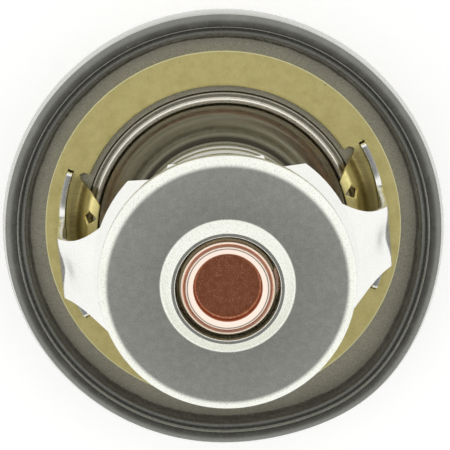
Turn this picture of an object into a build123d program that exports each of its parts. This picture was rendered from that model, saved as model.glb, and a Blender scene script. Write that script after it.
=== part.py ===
from build123d import *
import os
from math import atan2, cos, degrees, radians, sin

os.makedirs("parts", exist_ok=True)

# Engine thermostat. Lengths are in millimetres, angles in degrees.
# Z is the valve axis. Z = 0 is the engine-side face of the brass ring, and +Z points into the engine.
# The frame's two legs stand on the X axis.

# Flange stack, from the engine side to the air side
retainer_sheet = 0.8
flange_sheet = 1.2
seat_sheet = 0.8
land_diameter = 42.2
bore_clearance = 0.15
retainer_bore_step = 1.0
foot_inset = 4.25
retainer_margin = 1.9
seat_flange_margin = 1.35
flange_margin = 3.95

# Rubber edge seal
seal_overhang = 2.6
seal_grip = 1.6
seal_crown = 2.4
seal_depth = 4.4
seal_lip_height = 0.4
seal_bead_width = 1.6
seal_bead_height = 2.6
seal_step = 0.8
seal_wall_taper = 0.7
seal_wall_top = 0.4
seal_shoulder = 0.8
seal_shoulder_drop = 0.4

# Valve seat and the bell-shaped bridge on the air side
land_drop = 0.3
seat_lip_rise = 0.25
land_width = 1.65
seat_width = 1.55
seat_depth = 3.3
seat_lip_round = 0.3
bell_band_depth = 7.5
bell_band_radius = 17.5
bell_bend = 3.0
hub_depth = 21.4
hub_cone_radius = 9.0
window_top_depth = 6.6
window_foot_depth = 18.6
window_top_width = 31.0
window_foot_width = 18.0
window_corner = 2.5

# Stainless frame on the engine side
frame_sheet = 0.8
foot_half_angle = 26.8
foot_height = 1.3
foot_corner = 0.6
foot_clearance = 0.15
hook_reach = 1.5
leg_lean_start = 1.5
leg_width = 8.6
leg_lean = 1.6
leg_bend_height = 16.5
leg_top_width = 14.8
leg_fillet = 2.6
dart_width = 3.4
dart_length = 7.0
dart_depth = 0.7
crown_height = 29.4
crown_band_drop = 1.4
crown_flat_radius = 14.6
wing_radius = 17.6
wing_cut_width = 26.4
tab_width = 12.6
tab_span = 29.8
tab_fillet = 1.6
collar_length = 2.8

# Brass tongues beside the legs
tongue_half_angle = 25.0
tongue_tip_half_angle = 20.0
tongue_foot_step = 0.8
tongue_slope_run = 2.0
tongue_crest_run = 1.8
tongue_crest_height = 2.9
tongue_tip_height = 3.4
tongue_bend = 1.2
tongue_corner = 1.2
notch_half_angle = 29.0
notch_corner = 1.0
diamond_pitch = 12.5
diamond_width = 1.9
diamond_length = 2.6

# Thermal element
cup_radius = 5.85
cup_wall = 0.75
cup_proud = 1.0
cup_crest = 0.4
cup_crest_radius = 5.35
cup_crest_round = 0.45
cup_recess_radius = 4.3
cup_recess_depth = 1.4
cup_lip_radius = 5.45
cup_lip_groove = 0.3
crimp_radius = 8.2
crimp_wall = 0.85
crimp_mouth = 5.6
crimp_top = 3.2
crimp_bottom = -1.4
guide_stem_radius = 4.9
guide_bottom = -15.0
guide_flange_top = 1.6
guide_throat = 4.4
diaphragm_sheet = 0.8
diaphragm_tip = -0.9
plunger_play = 0.05
plunger_length = 2.5
washer_sheet = 0.6
piston_radius = 2.0
running_clearance = 0.06
piston_tip_chamfer = 0.5
piston_cup_radius = 4.2
piston_cup_height = 4.0
piston_cup_tail = 2.4
piston_cup_floor = 1.0
piston_cup_chamfer = 0.6

# Main valve plate and its spring
plate_sheet = 0.9
plate_seat_gap = 0.12
plate_rim_height = -0.9
plate_floor_height = -1.9
plate_floor_outer = 14.8
plate_floor_inner = 10.6
plate_hub_radius = 9.3
plate_bore_clearance = 0.12
plate_bend = 1.3
main_wire = 2.3
main_mean_radius = 12.5
main_active_turns = 4.5

# Bypass disc, its spring and its rings
disc_radius = 16.4
disc_sheet = 0.9
disc_skirt = 2.9
disc_edge = 1.0
disc_collar_foot = 8.4
disc_collar_crown = 7.1
disc_collar_bore = 6.6
disc_collar_height = 1.5
disc_land_sheet = 0.7
disc_land_rim = 7.6
slide_clearance = 0.10
clip_wire = 0.8
clip_depth = 0.35
clip_gap_angle = 30.0
clip_play = 0.05
spring_seat_rise = 1.3
bypass_spring_length = 4.9
spring_seat_sheet = 0.6
spring_seat_radius = 10.2
spring_seat_rim = 0.6
bypass_wire = 1.1
bypass_small_radius = 8.4
bypass_large_radius = 11.6
bypass_turns = 2.25

# Sizes that follow from the values above
land_radius = land_diameter / 2
seat_outer_radius = land_radius - land_width
seat_inner_radius = seat_outer_radius - seat_width
foot_radius = land_radius + foot_inset
leg_bend_radius = foot_radius - leg_lean
retainer_radius = foot_radius + retainer_margin
retainer_bore = land_diameter + 2 * retainer_bore_step
seat_flange_radius = foot_radius + seat_flange_margin
flange_radius = retainer_radius + flange_margin
seal_radius = flange_radius + seal_overhang
tongue_foot_radius = retainer_bore / 2 + tongue_foot_step
tongue_crest_radius = tongue_foot_radius - tongue_slope_run
tongue_tip_radius = tongue_crest_radius - tongue_crest_run
spring_seat_height = crown_height + spring_seat_rise
bypass_spring_base = spring_seat_height + spring_seat_sheet
disc_underside = bypass_spring_base + bypass_spring_length
disc_face = disc_underside + disc_sheet
disc_land = disc_underside
cup_top = disc_face + cup_proud
retainer_bottom = -retainer_sheet
flange_bottom = retainer_bottom - flange_sheet
seat_flange_bottom = flange_bottom - seat_sheet
flange_bore_radius = land_radius + bore_clearance
foot_half_width = foot_radius * sin(radians(foot_half_angle))
crown_underside = crown_height - frame_sheet
guide_bore = piston_radius + running_clearance
frame_bore = cup_radius + slide_clearance
hub_inner = -hub_depth
hub_bottom = hub_inner - seat_sheet
plunger_top = diaphragm_tip - plunger_play
washer_top = plunger_top - plunger_length
piston_top = washer_top - washer_sheet
piston_foot = hub_inner + piston_cup_floor
wax_top = cup_top - cup_recess_depth - cup_wall
crimp_inside = crimp_radius - crimp_wall
crimp_seat = crimp_bottom + crimp_wall
diaphragm_top = guide_flange_top + diaphragm_sheet
plate_hub_height = crimp_top + plate_sheet
clip_groove_radius = cup_radius - clip_depth
disc_clip_height = disc_land + clip_play + clip_wire / 2
seat_clip_height = spring_seat_height - clip_wire / 2


def rounded_face(points, bends):
    """Closed outline with some corners rounded: bends maps a corner's number to its radius."""
    face = make_face(Polyline(*points, close=True))
    for number, radius in bends.items():
        corner = face.vertices().sort_by_distance(Vertex(*points[number]))[0]
        face = fillet(corner, radius)
    return face


def sheet_face(points, bends, sheet):
    """Outline of a bent sheet: one face follows the line, then chosen corners are rounded."""
    line = offset(Polyline(*points), sheet, side=Side.LEFT, closed=True)
    face = make_face(line.edges())
    for number, radius in bends.items():
        corner = face.vertices().sort_by_distance(Vertex(*points[number]))[0]
        face = fillet(corner, radius)
    return face


def turned(points, bends={}):
    """Solid of revolution about the Z axis from a closed outline of radius and height pairs."""
    return revolve(Plane.XZ * rounded_face(points, bends), Axis.Z)


def pressed(points, bends, sheet):
    """Round pressing: one face follows the bent line, the sheet lies to the left of its direction."""
    line = FilletPolyline(*points, radius=bends)
    section = make_face(offset(line, sheet, side=Side.LEFT, closed=True).edges())
    return revolve(Plane.XZ * section, Axis.Z)


def slab(outline, bottom, top):
    """Flat outline in plan, raised from one height to another."""
    return Pos(0, 0, bottom) * extrude(outline, top - bottom)


def side_bar(outline):
    """Outline drawn in Y and Z, pushed along X to both sides of the axis."""
    return extrude(Plane.YZ * outline, seal_radius, both=True)


def foot_slots(bottom, top):
    """Two arc slots that take the frame's feet."""
    outer = foot_radius + foot_clearance
    inner = foot_radius - frame_sheet - foot_clearance
    half_width = foot_half_width + foot_clearance
    arcs = (Circle(outer) - Circle(inner)) & Rectangle(4 * outer, 2 * half_width)
    return slab(arcs, bottom, top)


def seat_radius_at(height):
    """Radius of the conical seat at a height between its lip and its lower edge."""
    share = (-land_drop - height) / (seat_depth - land_drop)
    return seat_outer_radius + share * (seat_inner_radius - seat_outer_radius)


def coil(wire, bottom, top, low_radius, high_radius, turns):
    """Helical wire between two heights of its centre line, straight or conical."""
    rise = top - bottom
    cone = degrees(atan2(high_radius - low_radius, rise))
    path = Helix(pitch=rise / turns, height=rise, radius=low_radius, cone_angle=cone)
    section = Plane(origin=path @ 0, z_dir=path % 0) * Circle(wire / 2)
    return Pos(0, 0, bottom) * sweep(section, path=path, is_frenet=True)


def clip_ring(height):
    """Open wire ring that sits in a groove of the cup."""
    section = Plane.XZ * Pos(clip_groove_radius + clip_wire / 2, height) * Circle(clip_wire / 2)
    return Rot(0, 0, clip_gap_angle / 2) * revolve(section, Axis.Z, 360 - clip_gap_angle)


def make_rubber_seal():
    """U-shaped rubber ring on the flange's edge, with an outer lip, a step and an inner bead."""
    outer = seal_radius
    edge = flange_radius
    lip = edge - seal_grip
    bead = edge - seal_bead_width / 2
    back_lip = lip + seal_lip_height
    points = [
        (edge, retainer_bottom),
        (lip, retainer_bottom),
        (lip, retainer_bottom + seal_lip_height),
        (bead - seal_bead_width / 2, retainer_bottom + 2 * seal_lip_height),
        (bead, retainer_bottom + seal_bead_height),
        (edge, seal_crown - seal_step),
        (edge, seal_crown),
        (outer - 2 * seal_wall_taper, seal_crown),
        (outer - seal_wall_taper, seal_crown - seal_shoulder_drop),
        (outer, seal_wall_top),
        (outer, -seal_depth),
        (back_lip + seal_bead_width / 2, -seal_depth),
        (back_lip, flange_bottom - seal_lip_height),
        (back_lip, flange_bottom),
        (edge, flange_bottom),
    ]
    bends = {4: seal_bead_width / 4, 7: seal_shoulder, 10: seal_shoulder, 11: seal_shoulder}
    return turned(points, bends)


def make_mounting_flange():
    """Flat steel ring between the brass ring and the seat's flange."""
    ring = Circle(flange_radius) - Circle(flange_bore_radius)
    return slab(ring, flange_bottom, retainer_bottom) - foot_slots(flange_bottom, retainer_bottom)


def make_tongues():
    """Two brass tongues that rise inward beside the legs, with diamond windows on their slopes."""
    line = [
        (tongue_foot_radius + 2 * tongue_bend, 0),
        (tongue_foot_radius, 0),
        (tongue_crest_radius, tongue_crest_height),
        (tongue_tip_radius, tongue_tip_height),
    ]
    shell = pressed(line, [tongue_bend, tongue_bend], retainer_sheet)
    foot_side = tongue_foot_radius * sin(radians(tongue_half_angle))
    foot_front = tongue_foot_radius * cos(radians(tongue_half_angle))
    tip_side = tongue_tip_radius * sin(radians(tongue_tip_half_angle))
    tip_front = (tongue_tip_radius - tongue_bend) * cos(radians(tongue_tip_half_angle))
    half = [(tip_front, tip_side), (foot_front, foot_side), (foot_radius, foot_side)]
    other = [(x, -y) for x, y in reversed(half)]
    plan = rounded_face(half + other, {0: tongue_corner, 5: tongue_corner})
    plan += mirror(plan, Plane.YZ)
    tongues = shell & slab(plan, -2 * retainer_sheet, 2 * tongue_tip_height)
    slope_run = tongue_foot_radius - tongue_crest_radius
    slope_angle = degrees(atan2(tongue_crest_height, slope_run))
    middle_radius = (tongue_foot_radius + tongue_crest_radius) / 2
    diamond = make_face(
        Polyline(
            (diamond_width / 2, 0),
            (0, diamond_length / 2),
            (-diamond_width / 2, 0),
            (0, -diamond_length / 2),
            close=True,
        )
    )
    punch = extrude(diamond, 2 * retainer_sheet, both=True)
    for side in (0, 180):
        for step in (-1, 0, 1):
            place = Rot(0, 0, side + step * diamond_pitch) * Pos(middle_radius, 0, tongue_crest_height / 2)
            tongues -= place * Rot(0, slope_angle, 0) * punch
    return tongues


def make_brass_retainer_ring():
    """Brass ring that holds the frame's feet, open beside each leg where the tongue is bent up."""
    ring = Circle(retainer_radius) - Circle(retainer_bore / 2)
    notch_side = tongue_foot_radius * sin(radians(notch_half_angle))
    notch = Circle(tongue_foot_radius) & Rectangle(4 * retainer_radius, 2 * notch_side)
    notch = fillet(notch.vertices(), notch_corner)
    flat = slab(ring - notch, retainer_bottom, 0)
    return flat + make_tongues() - foot_slots(retainer_bottom, 0)


def make_seat_bridge():
    """One pressing: flange, seat with its rounded lip, and a bell with two windows and a hub."""
    line = [
        (seat_flange_radius, flange_bottom),
        (land_radius, flange_bottom),
        (land_radius, -land_drop),
        (seat_outer_radius + 2 * seat_lip_rise, -land_drop),
        (seat_outer_radius + seat_lip_rise, -land_drop + seat_lip_rise),
        (seat_outer_radius, -land_drop),
        (seat_inner_radius, -seat_depth),
        (bell_band_radius, -bell_band_depth),
        (hub_cone_radius, hub_inner),
        (0, hub_inner),
    ]
    bends = {2: seat_lip_round, 4: seat_lip_round, 7: bell_bend, 8: bell_bend}
    bridge = revolve(Plane.XZ * sheet_face(line, bends, seat_sheet), Axis.Z)
    window_half = [(window_top_width / 2, -window_top_depth), (window_foot_width / 2, -window_foot_depth)]
    other = [(-y, z) for y, z in reversed(window_half)]
    corners = {number: window_corner for number in range(4)}
    bridge -= side_bar(rounded_face(window_half + other, corners))
    bridge -= foot_slots(seat_flange_bottom, flange_bottom)
    return bridge - slab(Circle(piston_cup_tail), hub_bottom, hub_inner)


def press_darts(frame):
    """Add a shallow dart, pressed inward, across each leg's bend."""
    inner = leg_bend_radius - frame_sheet
    lean = degrees(atan2(leg_lean, leg_bend_height))
    for side in (0, 180):
        place = Rot(0, 0, side) * Pos(inner, 0, leg_bend_height) * Rot(0, -lean, 0)
        boss = scale(Sphere(dart_length / 2), (2 * dart_depth / dart_length, dart_width / dart_length, 1))
        frame += place * boss & slab(Circle(leg_bend_radius - frame_sheet / 2), 0, crown_height)
    return frame


def make_lower_frame():
    """Stainless pressing with two hooked feet, two legs and a crown with wings and a guide collar."""
    hook = foot_radius + hook_reach
    line = [
        (hook, seat_flange_bottom),
        (foot_radius, seat_flange_bottom),
        (foot_radius, leg_lean_start),
        (leg_bend_radius, leg_bend_height),
        (wing_radius, crown_height - crown_band_drop),
        (crown_flat_radius, crown_height),
        (frame_bore, crown_height),
        (frame_bore, crown_height - collar_length),
    ]
    shell = pressed(line, [0.2, 1.5, 3.0, 1.2, 2.0, 1.0], frame_sheet)
    foot_top = foot_height
    low = seat_flange_bottom - 2 * frame_sheet
    shoulder = crown_height - crown_band_drop
    half = [
        (foot_half_width, low),
        (foot_half_width, foot_top),
        (leg_width / 2, foot_top),
        (leg_width / 2, leg_bend_height),
        (leg_top_width / 2, shoulder),
        (leg_top_width / 2, 2 * crown_height),
    ]
    other = [(-y, z) for y, z in reversed(half)]
    count = len(half) * 2 - 1
    bends = {1: foot_corner, 2: leg_fillet, count - 1: foot_corner, count - 2: leg_fillet}
    legs = side_bar(rounded_face(half + other, bends))
    wings = Circle(wing_radius) & Rectangle(2 * wing_radius, wing_cut_width)
    crown = wings + Rectangle(tab_width, tab_span)
    inner_corners = crown.vertices().filter_by(lambda v: abs(abs(v.Y) - wing_cut_width / 2) < 0.01)
    inner_corners = inner_corners.filter_by(lambda v: abs(abs(v.X) - tab_width / 2) < 0.01)
    crown = fillet(inner_corners, tab_fillet)
    top = slab(crown, crown_height - 2 * collar_length, 2 * crown_height)
    return press_darts(shell & (legs + top))


def make_wax_cup():
    """Copper cup: recessed end with a rounded rim, two clip grooves and a crimped shoulder."""
    lip_top = cup_top - cup_lip_groove / 2
    groove_floor = lip_top - cup_lip_groove
    points = [
        (0, cup_top - cup_recess_depth),
        (cup_recess_radius, cup_top - cup_recess_depth),
        (cup_recess_radius, cup_top + cup_crest),
        (cup_crest_radius, cup_top + cup_crest),
        (cup_crest_radius, groove_floor),
        (cup_lip_radius, groove_floor),
        (cup_lip_radius, lip_top),
        (cup_radius, lip_top),
        (cup_radius, disc_clip_height + clip_wire / 2),
        (clip_groove_radius, disc_clip_height + clip_wire / 2),
        (clip_groove_radius, disc_clip_height - clip_wire / 2),
        (cup_radius, disc_clip_height - clip_wire / 2),
        (cup_radius, seat_clip_height + clip_wire / 2),
        (clip_groove_radius, seat_clip_height + clip_wire / 2),
        (clip_groove_radius, seat_clip_height - clip_wire / 2),
        (cup_radius, seat_clip_height - clip_wire / 2),
        (cup_radius, crimp_top),
        (crimp_radius, crimp_top),
        (crimp_radius, crimp_bottom),
        (crimp_mouth, crimp_bottom),
        (crimp_mouth, crimp_seat),
        (crimp_inside, crimp_seat),
        (crimp_inside, diaphragm_top),
        (cup_radius - cup_wall, diaphragm_top),
        (cup_radius - cup_wall, wax_top),
        (0, wax_top),
    ]
    bends = {2: cup_crest_round, 3: cup_crest_round, 18: crimp_wall / 2}
    return turned(points, bends)


def make_wax_charge():
    """Wax that fills the cup."""
    points = [
        (0, diaphragm_top),
        (cup_radius - cup_wall, diaphragm_top),
        (cup_radius - cup_wall, wax_top),
        (0, wax_top),
    ]
    return turned(points)


def make_diaphragm():
    """Rubber diaphragm, clamped at its edge, with a tip that fills the guide's throat."""
    points = [
        (0, diaphragm_tip),
        (guide_bore, diaphragm_tip),
        (guide_throat, guide_flange_top),
        (crimp_inside, guide_flange_top),
        (crimp_inside, diaphragm_top),
        (0, diaphragm_top),
    ]
    return turned(points)


def make_element_guide():
    """Brass guide: a flange in the crimp and a long stem with the piston's bore."""
    points = [
        (guide_bore, guide_bottom),
        (guide_stem_radius, guide_bottom),
        (guide_stem_radius, crimp_seat),
        (crimp_inside, crimp_seat),
        (crimp_inside, guide_flange_top),
        (guide_throat, guide_flange_top),
        (guide_bore, diaphragm_tip),
    ]
    return turned(points, {1: guide_stem_radius / 6})


def make_piston():
    """Steel pin with chamfered ends."""
    pin = slab(Circle(piston_radius), piston_foot, piston_top)
    return chamfer(pin.edges().filter_by(GeomType.CIRCLE), piston_tip_chamfer)


def make_chafe_washer():
    """Thin hard disc between the piston and the rubber plunger."""
    return slab(Circle(piston_radius), piston_top, washer_top)


def make_rubber_plunger():
    """Rubber plunger that passes the diaphragm's push on to the piston."""
    return slab(Circle(piston_radius), washer_top, plunger_top)


def make_piston_seat_cup():
    """Cup riveted in the hub: it takes the piston's tip, and its tail ends flush with the hub."""
    rim = hub_inner + piston_cup_height
    points = [
        (0, hub_bottom),
        (piston_cup_tail, hub_bottom),
        (piston_cup_tail, hub_inner),
        (piston_cup_radius, hub_inner),
        (piston_cup_radius, rim - piston_cup_chamfer),
        (piston_cup_radius - piston_cup_chamfer, rim),
        (guide_bore + piston_cup_chamfer, rim),
        (guide_bore, rim - piston_cup_chamfer),
        (guide_bore, piston_foot),
        (0, piston_foot),
    ]
    return turned(points)


def make_main_valve_plate():
    """Dished plate: outer rim at the seat, floor for the spring, raised hub on the crimp."""
    rim_slope = (plate_rim_height - plate_floor_height) / (seat_inner_radius - plate_floor_outer)
    rim_radius = seat_radius_at(plate_rim_height - plate_sheet) - plate_seat_gap - plate_sheet * rim_slope
    line = [
        (rim_radius, plate_rim_height),
        (plate_floor_outer, plate_floor_height),
        (plate_floor_inner, plate_floor_height),
        (plate_hub_radius, plate_hub_height),
        (cup_radius + plate_bore_clearance, plate_hub_height),
    ]
    return pressed(line, [2 * plate_bend, plate_bend, plate_bend], plate_sheet)


def make_main_spring():
    """Cylindrical spring between the plate's floor and the crown, with one closed coil at each end."""
    low = plate_floor_height + main_wire / 2
    high = crown_underside - main_wire / 2
    radius = main_mean_radius
    end_coil = coil(main_wire, low, low + main_wire, radius, radius, 1)
    middle = coil(main_wire, low + main_wire, high - main_wire, radius, radius, main_active_turns)
    top_coil = coil(main_wire, high - main_wire, high, radius, radius, 1)
    top_coil = Rot(0, 0, 360 * main_active_turns) * top_coil
    return end_coil + middle + top_coil


def make_bypass_disc():
    """Round disc with a rolled skirt, a conical collar and an inner land that slides on the cup."""
    crown = disc_face + disc_collar_height
    points = [
        (disc_radius, disc_face - disc_skirt),
        (disc_radius, disc_face),
        (disc_collar_foot, disc_face),
        (disc_collar_crown, crown),
        (disc_collar_bore, crown),
        (disc_collar_bore, disc_land),
        (frame_bore, disc_land),
        (frame_bore, disc_land - disc_land_sheet),
        (disc_land_rim, disc_land - disc_land_sheet),
        (disc_land_rim, disc_underside),
        (disc_radius - disc_sheet, disc_underside),
        (disc_radius - disc_sheet, disc_face - disc_skirt),
    ]
    return turned(points, {1: disc_edge})


def make_bypass_spring():
    """Conical spring between its seat on the cup and the disc."""
    low = bypass_spring_base + bypass_wire / 2
    high = disc_underside - bypass_wire / 2
    return coil(bypass_wire, low, high, bypass_small_radius, bypass_large_radius, bypass_turns)


def make_bypass_spring_seat():
    """Small dished washer on the cup that carries the bypass spring."""
    rim_top = bypass_spring_base + spring_seat_rim
    points = [
        (cup_radius, spring_seat_height),
        (spring_seat_radius, spring_seat_height),
        (spring_seat_radius, rim_top),
        (spring_seat_radius - spring_seat_sheet, rim_top),
        (spring_seat_radius - spring_seat_sheet, bypass_spring_base),
        (cup_radius, bypass_spring_base),
    ]
    return turned(points)


pieces = {
    "rubber_seal": make_rubber_seal(),
    "mounting_flange": make_mounting_flange(),
    "brass_retainer_ring": make_brass_retainer_ring(),
    "seat_bridge": make_seat_bridge(),
    "piston_seat_cup": make_piston_seat_cup(),
    "piston": make_piston(),
    "chafe_washer": make_chafe_washer(),
    "rubber_plunger": make_rubber_plunger(),
    "lower_frame": make_lower_frame(),
    "main_spring": make_main_spring(),
    "wax_cup": make_wax_cup(),
    "wax_charge": make_wax_charge(),
    "diaphragm": make_diaphragm(),
    "element_guide": make_element_guide(),
    "main_valve_plate": make_main_valve_plate(),
    "bypass_spring_seat": make_bypass_spring_seat(),
    "spring_seat_clip": clip_ring(seat_clip_height),
    "bypass_spring": make_bypass_spring(),
    "bypass_disc": make_bypass_disc(),
    "disc_retaining_clip": clip_ring(disc_clip_height),
}

for name, piece in pieces.items():
    export_step(piece, f"parts/{name}.step")
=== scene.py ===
import bmesh
import bpy
from math import atan2, cos, degrees, exp, hypot, pi, radians, sin, sqrt, tan
from mathutils import Matrix, Vector, noise


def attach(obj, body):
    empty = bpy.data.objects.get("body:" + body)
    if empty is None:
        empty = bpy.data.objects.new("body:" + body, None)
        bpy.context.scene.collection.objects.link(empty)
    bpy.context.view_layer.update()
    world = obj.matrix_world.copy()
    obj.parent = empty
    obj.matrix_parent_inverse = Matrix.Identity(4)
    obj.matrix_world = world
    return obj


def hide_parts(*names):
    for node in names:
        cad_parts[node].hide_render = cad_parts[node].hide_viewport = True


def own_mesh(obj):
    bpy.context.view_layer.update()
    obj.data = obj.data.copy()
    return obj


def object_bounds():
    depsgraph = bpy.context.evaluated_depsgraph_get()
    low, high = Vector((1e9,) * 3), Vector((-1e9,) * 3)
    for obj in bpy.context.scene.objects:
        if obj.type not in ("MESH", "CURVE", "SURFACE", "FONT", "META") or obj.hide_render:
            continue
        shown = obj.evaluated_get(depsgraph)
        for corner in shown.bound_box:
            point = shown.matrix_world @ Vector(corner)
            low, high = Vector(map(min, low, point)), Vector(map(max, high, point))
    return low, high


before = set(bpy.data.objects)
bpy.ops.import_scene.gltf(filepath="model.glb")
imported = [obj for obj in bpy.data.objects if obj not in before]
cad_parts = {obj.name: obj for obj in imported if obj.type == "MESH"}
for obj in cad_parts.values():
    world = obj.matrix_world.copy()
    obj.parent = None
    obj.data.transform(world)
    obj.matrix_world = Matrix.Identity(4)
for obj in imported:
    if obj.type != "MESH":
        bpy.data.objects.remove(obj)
cad_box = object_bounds()

MM = 0.001

# Sizes of the thermostat in millimetres and degrees. Heights count from the brass ring's upper face,
# and angles count from the nearer leg.
RING_SHEET = 0.8
RING_OUTSIDE = 27.25
RING_BORE = 22.1
SLOT_OUTSIDE = 25.45
SLOT_INSIDE = 24.48
SLOT_HALF_ANGLE = 27.5
NOTCH_RADIUS = 22.9
NOTCH_HALF_ANGLE = 28.5
NOTCH_BULGE = 0.55
TONGUE_HALF_ANGLE = 25.0
TONGUE_TIP_HALF_ANGLE = 20.0
TONGUE_THINNING = 0.42
DIAMOND_RADIUS = 20.6
DIAMOND_HEIGHT = 2.84
DIAMOND_LONG_HALF = 1.4
DIAMOND_SHORT_HALF = 1.2
DIAMOND_SPACING = 12.5
FOOT_RADIUS = 25.35
FOOT_HALF_WIDTH = 11.43
FOOT_TOP = 1.3
LEG_HALF_ANGLE = 25.0
LEG_BEND_RADIUS = 23.75
LEG_BEND_HEIGHT = 16.5
LEG_HALF_WIDTH = 4.3
LEG_TOP_HALF_WIDTH = 7.4
LEG_FILLET = 2.6
CROWN_HEIGHT = 29.4
CROWN_BORE = 5.95
CROWN_ROUND = 13.0
WING_RADIUS = 17.6
WING_CUT = 13.2
TAB_CUT = 14.9
TAB_HALF_WIDTH = 6.3
TAB_FILLET = 1.6
FRAME_SHEET = 0.8
BRIDGE_SHEET = 0.8
SPRING_WIRE = 2.3
SPRING_RADIUS = 12.5
SMALL_WIRE = 1.1
SMALL_COIL = 8.4
WIDE_COIL = 11.6


# Camera, light and floor

def aim_camera():
    """Camera above the engine side, leaning a little towards +Y, as in the photograph."""
    lean = radians(10.88)
    roll = radians(4.75)
    leg_turn = Matrix.Rotation(radians(-0.9), 4, "Z")
    side_step, up_step = -0.23, -0.74
    distance = 199.4
    focal_length, picture_width = 1300, 450
    right = Vector((cos(roll), -sin(roll) * cos(lean), sin(roll) * sin(lean)))
    up = Vector((sin(roll), cos(roll) * cos(lean), -cos(roll) * sin(lean)))
    back = Vector((0, sin(lean), cos(lean)))
    place = (back * distance - right * side_step - up * up_step) * MM
    turn = Matrix((right, up, back)).transposed().to_4x4()
    data = bpy.data.cameras.new("camera")
    data.sensor_width = 36
    data.lens = focal_length / picture_width * data.sensor_width
    data.clip_start = 0.01
    camera = bpy.data.objects.new("camera", data)
    camera.matrix_world = leg_turn @ Matrix.Translation(place) @ turn
    bpy.context.scene.collection.objects.link(camera)
    bpy.context.scene.camera = camera
    bpy.context.scene.view_settings.view_transform = "Standard"


def light_tent():
    """White tent: bright all round, darker straight above where the camera looks in."""
    world = bpy.data.worlds.new("tent")
    world.use_nodes = True
    nodes, links = world.node_tree.nodes, world.node_tree.links
    background = nodes["Background"]
    direction = nodes.new("ShaderNodeTexCoord")
    overhead = nodes.new("ShaderNodeVectorMath")
    overhead.operation = "DOT_PRODUCT"
    overhead.inputs[1].default_value = (0.0, -0.235, 0.972)
    ramp = nodes.new("ShaderNodeValToRGB")
    links.new(direction.outputs["Generated"], overhead.inputs[0])
    links.new(overhead.outputs["Value"], ramp.inputs["Fac"])
    links.new(ramp.outputs["Color"], background.inputs["Color"])
    stops = ramp.color_ramp.elements
    stops[0].position, stops[0].color = 0.0, (1.0, 1.0, 0.99, 1)
    stops[1].position, stops[1].color = 1.0, (0.13, 0.13, 0.125, 1)
    for position, level in ((0.74, 1.0), (0.86, 0.58), (0.945, 0.22)):
        stop = stops.new(position)
        stop.color = (level, level, level * 0.985, 1)
    background.inputs["Strength"].default_value = 1.1
    bpy.context.scene.world = world


def pale_floor():
    """Wide white floor under the thermostat, lit up only for the camera, mirrors and glass."""
    bm = bmesh.new()
    bmesh.ops.create_grid(bm, x_segments=2, y_segments=2, size=0.6)
    bmesh.ops.translate(bm, verts=bm.verts, vec=(0, 0, cad_box[0][2] - 0.2 * MM))
    mesh = bpy.data.meshes.new("floor")
    bm.to_mesh(mesh)
    bm.free()
    floor = bpy.data.objects.new("floor", mesh)
    bpy.context.scene.collection.objects.link(floor)
    paint = Finish("white_floor", (0.93, 0.93, 0.93), 0.0, 0.9)
    paint.shader.inputs["Specular IOR Level"].default_value = 0.0
    paint.shader.inputs["Emission Color"].default_value = (1, 1, 1, 1)
    seen = paint.nodes.new("ShaderNodeLightPath").outputs
    mirrored = paint.math("ADD", seen["Is Glossy Ray"], seen["Is Transmission Ray"])
    total = paint.math("ADD", seen["Is Camera Ray"], mirrored)
    paint.feed(paint.shader.inputs["Emission Strength"], paint.math("MULTIPLY", total, 0.33))
    mesh.materials.append(paint.material)


# Finishes. Limits on radius and height are in metres.

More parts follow.
